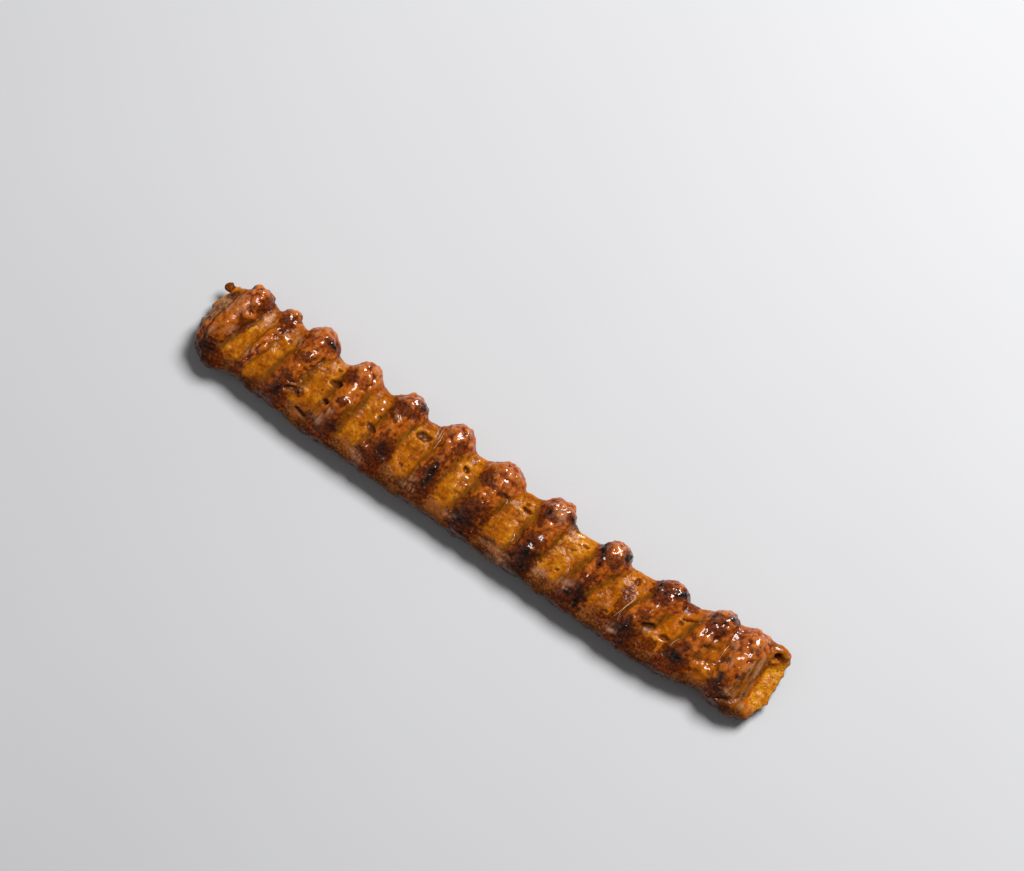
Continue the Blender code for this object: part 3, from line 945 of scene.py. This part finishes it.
class KOFTA_PG_meat(bpy.types.PropertyGroup):
    """Sizes and colours of the meat."""

    voxel: bpy.props.FloatProperty(
        name="Fineness", description="Size of the mesh's cells", default=0.00055, unit="LENGTH"
    )
    lump_depth: bpy.props.FloatProperty(
        name="Lump Depth", description="Height of the hand-shaped lumps", default=0.00045, unit="LENGTH"
    )
    pebble_depth: bpy.props.FloatProperty(
        name="Pebble Depth", description="Height of the grains on ridges", default=0.00065, unit="LENGTH"
    )
    blister_depth: bpy.props.FloatProperty(
        name="Blister Depth", description="Height of the blisters on knobs", default=0.00045, unit="LENGTH"
    )
    crumb_depth: bpy.props.FloatProperty(
        name="Crumb Depth", description="Height of the crumb in the hollows", default=0.00018, unit="LENGTH"
    )
    flank_depth: bpy.props.FloatProperty(
        name="Flank Depth", description="Height of the ragged sides", default=0.0008, unit="LENGTH"
    )
    stripe_depth: bpy.props.FloatProperty(
        name="Stripe Depth", description="Height of the drawn-out streaks", default=0.0002, unit="LENGTH"
    )
    translucency: bpy.props.FloatProperty(
        name="Translucency", description="Share of light that goes into the meat", default=0.1
    )
    amber: colour_property("Amber", "Hollows between ridges", (0.31, 0.085, 0.002))
    amber_light: colour_property("Light Amber", "Pale part of the hollows", (0.43, 0.14, 0.004))
    amber_dark: colour_property("Dark Amber", "Deep part of the hollows", (0.17, 0.04, 0.002))
    honey: colour_property("Honey", "Palest part of the hollows", (0.54, 0.22, 0.012))
    orange: colour_property("Orange", "Spiced fat in the hollows", (0.38, 0.085, 0.001))
    # the wall colours are partly browning and partly painted shade on the steep sides
    wall: colour_property("Wall", "Sides of the ridges", (0.19, 0.062, 0.004))
    wall_dark: colour_property("Dark Wall", "Sides of the ridges, dark streaks", (0.08, 0.022, 0.002))
    brown: colour_property("Brown", "Browned ridges", (0.3, 0.062, 0.003))
    brown_light: colour_property("Light Brown", "Palest part of the ridges", (0.42, 0.112, 0.009))
    brown_dark: colour_property("Dark Brown", "Darkest part of the ridges", (0.09, 0.016, 0.002))
    knob: colour_property("Knob", "Knobs", (0.29, 0.055, 0.004))
    knob_light: colour_property("Light Knob", "Palest part of the knobs", (0.5, 0.15, 0.025))
    knob_dark: colour_property("Dark Knob", "Darkest part of the knobs", (0.1, 0.014, 0.002))
    roast: colour_property("Roast", "Well-browned patches", (0.15, 0.024, 0.002))
    roast_dark: colour_property("Dark Roast", "Well-browned patches, dark grains", (0.04, 0.006, 0.001))
    # the dull colours are partly the low side's own fibres and partly painted shade
    dull: colour_property("Dull", "Low side, pale fibres", (0.22, 0.067, 0.014))
    dull_dark: colour_property("Dark Dull", "Low side, dark fibres", (0.07, 0.018, 0.004))
    # near black feet: real searing and painted shade
    seared: colour_property("Seared", "Hard-grilled feet of the ridges", (0.022, 0.006, 0.003))
    pale: colour_property("Pale", "Meat that took no colour", (0.42, 0.21, 0.11))
    bed: colour_property("Bed", "Bed of the skewer", (0.48, 0.165, 0.006))
    bed_light: colour_property("Light Bed", "Bed of the skewer, pale part", (0.62, 0.28, 0.016))
    bed_dark: colour_property("Dark Bed", "Bed of the skewer, deep part", (0.34, 0.085, 0.003))
    chilli: colour_property("Chilli", "Red spice in the meat", (0.3, 0.028, 0.005))
    pepper: colour_property("Pepper", "Dark spice in the meat", (0.045, 0.014, 0.006))
    # painted shade for pits, cracks and dips
    hollow: colour_property("Hollow", "Bottoms of pits and cracks", (0.06, 0.016, 0.004))
    char: colour_property("Char", "Burnt spots", (0.006, 0.004, 0.003))


class KOFTA_PG_bits(bpy.types.PropertyGroup):
    """Sizes and colours of the small bits on the meat."""

    flake_count: bpy.props.IntProperty(name="Flakes", description="Number of chilli flakes", default=45)
    crumb_count: bpy.props.IntProperty(name="Crumbs", description="Number of charred crumbs", default=60)
    flake_size: bpy.props.FloatProperty(
        name="Flake Size", description="Length of a chilli flake", default=0.0009, unit="LENGTH"
    )
    crumb_size: bpy.props.FloatProperty(
        name="Crumb Size", description="Width of a charred crumb", default=0.0008, unit="LENGTH"
    )
    seed: bpy.props.IntProperty(name="Seed", description="Changes where the bits fall", default=7)
    flake_light: colour_property("Light Flake", "Pale side of the flakes", (0.42, 0.06, 0.012))
    flake_dark: colour_property("Dark Flake", "Dark side of the flakes", (0.16, 0.016, 0.006))
    crumb_light: colour_property("Light Crumb", "Pale side of the crumbs", (0.03, 0.016, 0.012))
    crumb_dark: colour_property("Dark Crumb", "Dark side of the crumbs", (0.006, 0.005, 0.005))
    sinew_light: colour_property("Light Sinew", "Pale parts of the sinews", (0.58, 0.36, 0.2))
    sinew_dark: colour_property("Dark Sinew", "Dark parts of the sinews", (0.36, 0.15, 0.05))


class KOFTA_PG_stage(bpy.types.PropertyGroup):
    """The table, the lights and the camera."""

    table_size: bpy.props.FloatProperty(
        name="Table", description="Width of the table", default=3.0, unit="LENGTH"
    )
    table_colour: colour_property("Table Colour", "Colour of the table", (0.54, 0.54, 0.55))
    key_power: bpy.props.FloatProperty(name="Key Light", description="Power of the key light", default=32.0)
    fill_power: bpy.props.FloatProperty(name="Fill Light", description="Power of the fill light", default=0.6)
    sky_strength: bpy.props.FloatProperty(name="Sky", description="Light from all round", default=0.12)
    camera_distance: bpy.props.FloatProperty(
        name="Camera Distance", description="From the middle of the view", default=2.2, unit="LENGTH"
    )
    aim_right: bpy.props.FloatProperty(
        name="Aim Right", description="Aim, right of the kofta's middle", default=0.0084, unit="LENGTH"
    )
    aim_up: bpy.props.FloatProperty(
        name="Aim Up", description="Aim, above the kofta's middle in view", default=0.0231, unit="LENGTH"
    )
    camera_lens: bpy.props.FloatProperty(
        name="Lens", description="Focal length", default=212.6, subtype="DISTANCE_CAMERA"
    )
    lean: bpy.props.FloatProperty(
        name="Lean", description="Camera's lean from overhead", default=math.radians(10), subtype="ANGLE"
    )
    twist: bpy.props.FloatProperty(
        name="Twist", description="Turn of the kofta in view", default=math.radians(34.7), subtype="ANGLE"
    )


# -------------------------------------------------------------- operators


def find_zones(points, normals):
    """Return the masks of the loaf's zones at smooth points of its surface."""
    x, y, z = points.T
    facing_up = soft_step(normals[:, 2], -0.1, 0.3)
    upper = soft_step(z, SURFACE_LOW - 2.0, SURFACE_LOW) * facing_up
    away = ridge_distance(points, 1.1 * waves(points, 3.6, 11.0) + 0.9 * waves(points, 7.5, 4.0))
    knob = knob_mask(points)
    lumpy = spot_mask(points, LUMPY_VALLEY, 0.3) * upper
    fray = waves(points, 1.3, 6.0)
    wander = 1.6 * waves(points, 4.5, 8.0) + 1.4 * waves(points, 9.0, 3.0)
    bed = soft_step(x, LIP_X, LIP_X + 1.0) * (1.0 - soft_step(z, BED_HEIGHT, BED_HEIGHT + 1.2))
    bed *= soft_step(normals[:, 2], 0.1, 0.5) * soft_step(y, -9.5, -8.0)
    striped = soft_step(x, 112.0, 113.5) * (1.0 - bed) * upper
    return {
        "upper": upper,
        "ridge": (1.0 - soft_step(away, 0.35, 0.95)) * (1.0 - 0.45 * lumpy),
        "near": (1.0 - soft_step(away, 0.7, 1.4)) * (1.0 - 0.8 * lumpy),
        "knob": knob,
        # steep sides, where painted shade goes on with the browning
        "wall": soft_step(np.abs(normals[:, 0]), 0.28, 0.6) * upper * (1.0 - knob),
        "striped": striped,
        "bed": bed,
        "pit": cover(points, PITS, 0.2, 0.21 * fray) * upper,
        "char": cover(points, CHARS, 0.25, 0.39 * fray) * upper,
        "gleam": cover(points, GLEAMS, 0.35, 0.36 * fray) * upper,
        "lumpy": lumpy,
        "end": soft_step(np.abs(x), 114.0, 119.0),
        "fray": fray,
        "north": soft_step(y, 5.0, 12.0),
        # the south band, where the low side is painted darker for its shade
        "south": soft_step(wander - y, 8.0, 16.5),
        "flank": (1.0 - soft_step(np.abs(normals[:, 2]), 0.2, 0.8)) * soft_step(z, 0.6, 3.0),
        "side": 1.0 - soft_step(np.abs(normals[:, 2]), 0.5, 0.9),
        "resting": 1.0 - soft_step(z, 0.25, 1.6),
    }


def relief(points, zone, look):
    """Return how far the minced surface stands out of the smooth one, in millimetres."""
    rough = np.clip(0.25 + 0.75 * zone["ridge"] + 0.5 * zone["knob"], 0.0, 1.0) * (1.0 - 0.5 * zone["bed"])
    blistered = 0.15 + 0.4 * zone["ridge"] + 0.45 * zone["knob"]
    rough *= 0.8 + 0.7 * waves(points, 6.0, 17.0)
    blistered *= 0.8 + 0.8 * waves(points, 5.0, 23.0)
    height = in_mm(look.lump_depth) * (waves(points, 5.2) + 0.8 * waves(points, 9.5, 13.0))
    height += in_mm(look.lump_depth) * 0.6 * waves(points, 2.4, 7.0) * (0.4 + 0.6 * rough)
    height += in_mm(look.pebble_depth) * (domes(points, 3.0) - 0.5) * rough
    height += in_mm(look.pebble_depth) * 1.6 * (domes(points, 3.8, 21.0) - 0.4) * zone["lumpy"]
    height += in_mm(look.blister_depth) * (domes(points, 1.7, 3.0) - 0.5) * blistered
    height += in_mm(look.crumb_depth) * waves(points, 1.15, 5.0)
    height += in_mm(look.flank_depth) * (domes(points, 4.6, 15.0) - 0.5) * zone["flank"]
    height += in_mm(look.flank_depth) * waves(points, 1.9, 31.0) * zone["flank"] * zone["end"]
    streaks = waves(points * np.array((1.0, 0.12, 0.12)), 0.9, 9.0)
    height += in_mm(look.stripe_depth) * streaks * np.maximum(zone["wall"], zone["striped"])
    dents = np.zeros(len(points))
    for spot in PITS:
        dents = np.maximum(dents, spot_mask(points, spot, 0.25, 0.2 * zone["fray"]) * spot.depth)
    for crease in CREASES:
        dents = np.maximum(dents, crease_depth(points, crease, 0.88 * zone["fray"]))
    beads = np.zeros(len(points))
    for spot in CHARS:
        beads = np.maximum(beads, spot_mask(points, spot, 0.4, 0.4 * zone["fray"]) * spot.depth)
    for spot in GLEAMS:
        beads = np.maximum(beads, spot_mask(points, spot, 0.9) * min(spot.along, spot.across) * BEAD_RISE)
    tucked = (1.0 - soft_step(points[:, 2], 0.4, 4.5)) * zone["side"]
    return (height + (beads - dents) * zone["upper"]) * (1.0 - zone["resting"]) - TUCK * tucked


def cook(base, normals, sunk, zone):
    """Return the masks that the meat's material reads; sunk is how deep each point lies in its dip."""
    x, y, z = base.T
    low_side = 1.0 - soft_step(z, 2.0, 7.0)
    # the ridges darken toward their south feet: browning and painted shade
    browned_and_shaded_feet = 0.45 * zone["ridge"] * soft_step(-y, 0.0, 12.0)
    fray = 0.75 * zone["fray"]
    halos = [spot._replace(along=spot.along * HALO, across=spot.across * HALO) for spot in CHARS]
    roast = np.maximum(cover(base, ROASTED, 0.75, fray), 0.8 * cover(base, halos, 0.75, fray))
    wet = 0.45 * zone["ridge"] + 0.42 * zone["knob"] + 0.4 * zone["lumpy"]
    wet *= 1.0 - 0.6 * soft_step(-x, 100.0, 108.0)
    facing = 0.3 + 0.7 * soft_step(normals[:, 2], 0.1, 0.6)
    return {
        # painted light on raised grains, painted shade in dips
        "crest": 0.5 - sunk / 0.5,
        # painted shade in the pits and wherever the surface is sunk
        "hollow": np.maximum(zone["pit"], soft_step(sunk, 0.14, 0.6)),
        "browning": zone["ridge"] + zone["knob"] + 0.25 * zone["north"] + 0.4 * low_side,
        "knob": zone["knob"],
        "near": zone["near"] * (1.0 - zone["bed"]),
        # steep sides of the ridges: browning and painted shade
        "wall": np.maximum(zone["wall"] * (1.0 - 0.5 * zone["ridge"]), 0.6 * zone["striped"]),
        # painted shade on the low south side, partly the meat's own dull fibres
        "south": np.maximum(zone["south"], low_side),
        # the roast mask also takes the darker feet of the ridges, which are partly painted shade
        "roast": np.maximum(browned_and_shaded_feet, roast),
        # seared feet: real searing and painted shade
        "sear": cover(base, SEARED_AND_SHADED_FEET, 0.8, fray) * soft_step(z, 1.0, 6.0),
        "char": zone["char"],
        # pale shreds, and one painted highlight
        "pale": cover(base, PALE_SHREDS_AND_SHEEN, 0.5) * soft_step(normals[:, 2], -0.6, 0.2),
        "bed": zone["bed"],
        "east": soft_step(x, 38.0, 80.0),
        "wet": np.maximum(zone["gleam"], wet) * facing * (1.0 - 0.8 * low_side),
    }


class KOFTA_OT_meat(bpy.types.Operator):
    """Make the loaf of minced meat"""

    bl_idname = "kofta.meat"
    bl_label = "Meat"

    def execute(self, context):
        look = context.scene.kofta_meat
        mesh = fine_copy_of_loaf(look.voxel * (1.0))
        edges = read_edges(mesh)
        base = relaxed(read_points(mesh), edges, EVENING_ROUNDS)
        write_points(mesh, base)
        normals = read_normals(mesh)
        zone = find_zones(base, normals)
        moved = base + normals * relief(base, zone, look)[:, None]
        moved[:, 2] = np.maximum(moved[:, 2], 0.0)
        write_points(mesh, moved)
        sunk = ((relaxed(moved, edges, HOLLOW_ROUNDS) - moved) * normals).sum(axis=1)
        for name, mask in cook(base, normals, sunk, zone).items():
            store_mask(mesh, name, mask)

        meat = new_object("kofta_meat", mesh)
        add_to_frame(meat, meat_material(shared_groups(), look))
        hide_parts(LOAF_NODE)
        return {"FINISHED"}


def shared_groups():
    """Return the node groups that the materials share, building them the first time."""
    if "minced_crumb" not in bpy.data.node_groups:
        make_crumb_group()
        make_oil_group()
    return {"crumb": bpy.data.node_groups["minced_crumb"], "oil": bpy.data.node_groups["oil_film"]}


def surface_tree():
    """Return a tree for finding where the finished meat lies."""
    return BVHTree.FromObject(bpy.data.objects["kofta_meat"], bpy.context.evaluated_depsgraph_get())


def meat_below(surface, x, y):
    """Return the point and the normal of the meat's upper side at x and y in millimetres, or None off it."""
    start = Vector((x * MM, y * MM, OVERHEAD * MM))
    hit, normal, _, _ = surface.ray_cast(start, Vector((0.0, 0.0, -1.0)))
    if hit is None or normal.z < 0.1:
        return None
    return hit, normal


def add_bit(bm, centre, normal, size, rng, flat):
    """Add one small ragged bit to a bmesh, lying on a surface."""
    made = bmesh.ops.create_icosphere(bm, subdivisions=1, radius=0.5)["verts"]
    for vert in made:
        vert.co *= rng.uniform(0.75, 1.25)
    scale = Vector((size, size * rng.uniform(0.5, 0.9), size * flat))
    turn = Matrix.Rotation(rng.uniform(0.0, math.tau), 4, "Z")
    tilt = normal.to_track_quat("Z", "Y").to_matrix().to_4x4()
    place = Matrix.Translation(centre) @ tilt @ turn @ Matrix.Diagonal((*scale, 1.0))
    bmesh.ops.transform(bm, matrix=place, verts=made)


def strew(name, count, size, flat, rng, chooser):
    """Return an object of small bits strewn over the meat where the chooser says."""
    surface = surface_tree()
    bm = bmesh.new()
    placed = 0
    while placed < count:
        found = meat_below(surface, *chooser(rng))
        if found is None:
            continue
        hit, normal = found
        bit_size = size * rng.uniform(0.45, 1.25)
        add_bit(bm, hit - normal * bit_size * flat * 0.2, normal, bit_size, rng, flat)
        placed += 1
    return new_object(name, finished_mesh(bm, name))


def lay_threads(name, threads):
    """Return a mesh object of thin tubes laid over the meat along their points, thinner at both ends."""
    surface = surface_tree()
    curve = bpy.data.curves.new(name, "CURVE")
    curve.dimensions = "3D"
    curve.bevel_depth = MM  # so a point's radius is in millimetres
    curve.bevel_resolution = 2
    curve.use_fill_caps = True
    for thread in threads:
        corners = np.array(thread.points)
        steps = np.linspace(0.0, len(corners) - 1.0, 8 * len(corners))
        x = np.interp(steps, np.arange(len(corners)), corners[:, 0])
        y = np.interp(steps, np.arange(len(corners)), corners[:, 1])
        found = [meat_below(surface, *place) for place in zip(x, y)]
        lift = thread.radius * 0.3 * MM
        laid = [hit + normal * lift for hit, normal in filter(None, found)]
        spline = curve.splines.new("POLY")
        spline.points.add(len(laid) - 1)
        for number, (point, place) in enumerate(zip(spline.points, laid)):
            point.co = (*place, 1.0)
            point.radius = thread.radius * (0.35 + 0.65 * math.sin(math.pi * number / (len(laid) - 1)))
    source = new_object(name, curve)
    mesh = bpy.data.meshes.new_from_object(source.evaluated_get(bpy.context.evaluated_depsgraph_get()))
    bpy.data.objects.remove(source)
    return new_object(name, mesh)


class KOFTA_OT_bits(bpy.types.Operator):
    """Strew chilli flakes and charred crumbs over the meat, and lay the sinews"""

    bl_idname = "kofta.bits"
    bl_label = "Spice and Char"

    def execute(self, context):
        look = context.scene.kofta_bits
        rng = random.Random(look.seed)

        def anywhere(rng):
            return rng.uniform(-116.0, 114.0), rng.uniform(-16.0, 15.0)

        def near_char(rng):
            spot = rng.choice(CHARS)
            return rng.gauss(spot.x, spot.along), rng.gauss(spot.y, spot.across)

        flakes = strew("chilli_flakes", look.flake_count, look.flake_size, 0.3, rng, anywhere)
        crumbs = strew("charred_crumbs", look.crumb_count, look.crumb_size, 0.7, rng, near_char)
        sinews = lay_threads("sinews", SINEWS)
        groups = shared_groups()
        add_to_frame(sinews, fleck_material("sinew", groups, look.sinew_light, look.sinew_dark, 0.35))
        add_to_frame(flakes, fleck_material("chilli", groups, look.flake_light, look.flake_dark, 0.4))
        add_to_frame(crumbs, fleck_material("charcoal", groups, look.crumb_light, look.crumb_dark, 0.5))
        return {"FINISHED"}


def view_axes(look):
    """Return the view's right and ahead, both level, then its up and the way back to the camera."""
    right = Vector((math.cos(look.twist), math.sin(look.twist), 0.0))
    ahead = Vector((-math.sin(look.twist), math.cos(look.twist), 0.0))
    back = Vector((0.0, 0.0, math.cos(look.lean))) - ahead * math.sin(look.lean)
    return right, ahead, back.cross(right), back


def add_table(look):
    """Add the table that the kofta lies on."""
    bm = bmesh.new()
    bmesh.ops.create_grid(bm, x_segments=1, y_segments=1, size=look.table_size / 2)
    table = new_object("table", finished_mesh(bm, "table"))
    table.data.materials.append(table_material(look))


def add_camera(context, look, middle):
    """Add the camera, which looks down on the kofta, and use it."""
    right, _, up, back = view_axes(look)
    aim = middle + right * look.aim_right + up * look.aim_up
    camera = bpy.data.cameras.new("camera")
    camera.lens = look.camera_lens
    camera.sensor_width = 36.0
    camera.clip_start = 0.01
    eye = bpy.data.objects.new("camera", camera)
    eye.matrix_world = Matrix((right, up, back)).transposed().to_4x4()
    eye.matrix_world.translation = aim + back * look.camera_distance
    context.scene.collection.objects.link(eye)
    context.scene.camera = eye


def add_light(context, name, place, target, size, power):
    """Add a square soft light that faces a target."""
    light = bpy.data.lights.new(name, "AREA")
    light.energy = power
    light.size = size
    lamp = bpy.data.objects.new(name, light)
    lamp.matrix_world = (place - target).to_track_quat("Z", "Y").to_matrix().to_4x4()
    lamp.matrix_world.translation = place
    context.scene.collection.objects.link(lamp)


def add_sky(context, look):
    """Light the scene evenly from all round."""
    world = bpy.data.worlds.new("sky")
    world.use_nodes = True
    set_inputs(world.node_tree.nodes["Background"], Color=SKY_COLOUR, Strength=look.sky_strength)
    context.scene.world = world


class KOFTA_OT_stage(bpy.types.Operator):
    """Set the table, the lights and the camera"""

    bl_idname = "kofta.stage"
    bl_label = "Stage"

    def execute(self, context):
        look = context.scene.kofta_stage
        low, high = CAD_BOX
        middle = (low + high) / 2
        add_table(look)
        add_camera(context, look, middle)
        right, ahead, _, _ = view_axes(look)
        for name, (aside, along, above), distance, size, power in LIGHTS:
            away = (right * aside + ahead * along + Vector((0.0, 0.0, above))).normalized()
            add_light(context, name, middle + away * distance, middle, size, getattr(look, power))
        add_sky(context, look)
        context.scene.view_settings.view_transform = "Standard"
        return {"FINISHED"}


class KOFTA_PT_panel(bpy.types.Panel):
    """Lists the steps and their settings"""

    bl_idname = "KOFTA_PT_panel"
    bl_label = "Kofta"
    bl_space_type = "VIEW_3D"
    bl_region_type = "UI"
    bl_category = "Kofta"

    def draw(self, context):
        for operator, settings in STEPS:
            box = self.layout.box()
            box.operator(operator.bl_idname)
            group = getattr(context.scene, settings)
            for name in group.bl_rna.properties.keys():
                if name not in ("rna_type", "name"):
                    box.prop(group, name)


STEPS = (
    (KOFTA_OT_meat, "kofta_meat"),
    (KOFTA_OT_bits, "kofta_bits"),
    (KOFTA_OT_stage, "kofta_stage"),
)
GROUPS = {"kofta_meat": KOFTA_PG_meat, "kofta_bits": KOFTA_PG_bits, "kofta_stage": KOFTA_PG_stage}
CLASSES = (*GROUPS.values(), *(operator for operator, _ in STEPS), KOFTA_PT_panel)


def register():
    """Register the classes and hang their settings on the scene."""
    for kind in CLASSES:
        bpy.utils.register_class(kind)
    for name, kind in GROUPS.items():
        setattr(bpy.types.Scene, name, bpy.props.PointerProperty(type=kind))


def unregister():
    """Take everything back out."""
    for name in GROUPS:
        delattr(bpy.types.Scene, name)
    for kind in reversed(CLASSES):
        bpy.utils.unregister_class(kind)


def main():
    """Make every piece in order."""
    register()
    bpy.ops.kofta.meat()
    bpy.ops.kofta.bits()
    bpy.ops.kofta.stage()


if __name__ == "__main__":
    main()
